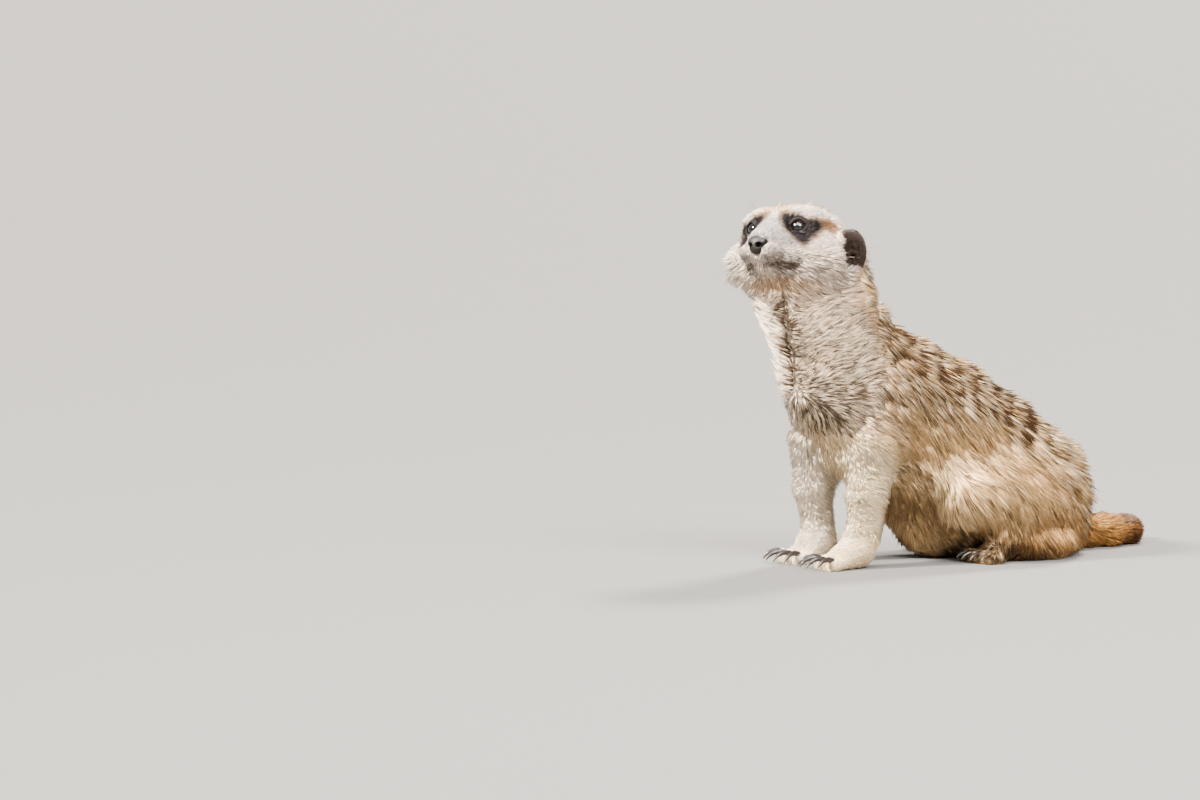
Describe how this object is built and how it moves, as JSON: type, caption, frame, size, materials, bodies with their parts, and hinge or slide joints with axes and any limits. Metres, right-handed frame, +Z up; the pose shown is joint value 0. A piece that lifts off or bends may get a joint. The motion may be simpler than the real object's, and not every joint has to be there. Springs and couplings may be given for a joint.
{
  "type": "meerkat",
  "caption": "Still, life-size meerkat that sits on its rump and hind feet with its front paws planted, leans forward and turns its raised head to its left.",
  "frame": {"origin": "on the floor, under the middle of the animal's box", "axes": "+Z up, the body faces -Y and its left side is towards +X; the head is turned about 26 degrees to its left"},
  "size_m": [0.153, 0.2986, 0.2006],
  "materials": {
    "coat_back": "grizzled brown fur with broken dark bands across the lower back",
    "coat_pale": "soft cream fur on the face, neck, chest and legs",
    "coat_ochre": "short ochre fur on the tail and the hind feet",
    "tail_tip": "dark brown fur at the end of the tail",
    "ear_dark": "very short blackish brown fur",
    "eye": "wet gloss, dark brown iris",
    "nose": "moist dark grey nose leather",
    "claw": "dark grey-brown horn with paler tips"
  },
  "bodies": {
    "root": {"trunk": "coat_back", "neck": "coat_pale", "head": "coat_pale", "ear_left": "ear_dark", "ear_right": "ear_dark", "eye_left": "eye", "eye_right": "eye", "nose": "nose", "front_leg_left": "coat_pale", "front_paw_left": "coat_pale", "hind_leg_left": "coat_pale", "hind_foot_left": "coat_ochre", "front_leg_right": "coat_pale", "front_paw_right": "coat_pale", "hind_leg_right": "coat_pale", "hind_foot_right": "coat_ochre", "tail_base": "coat_ochre", "tail_middle": "coat_ochre", "tail_tip": "tail_tip", "claw_front_left_1": "claw", "claw_front_left_2": "claw", "claw_front_left_3": "claw", "claw_front_left_4": "claw", "claw_front_right_1": "claw", "claw_front_right_2": "claw", "claw_front_right_3": "claw", "claw_front_right_4": "claw", "claw_hind_left_1": "claw", "claw_hind_left_2": "claw", "claw_hind_left_3": "claw", "claw_hind_left_4": "claw", "claw_hind_right_1": "claw", "claw_hind_right_2": "claw", "claw_hind_right_3": "claw", "claw_hind_right_4": "claw"}
  },
  "joints": []
}
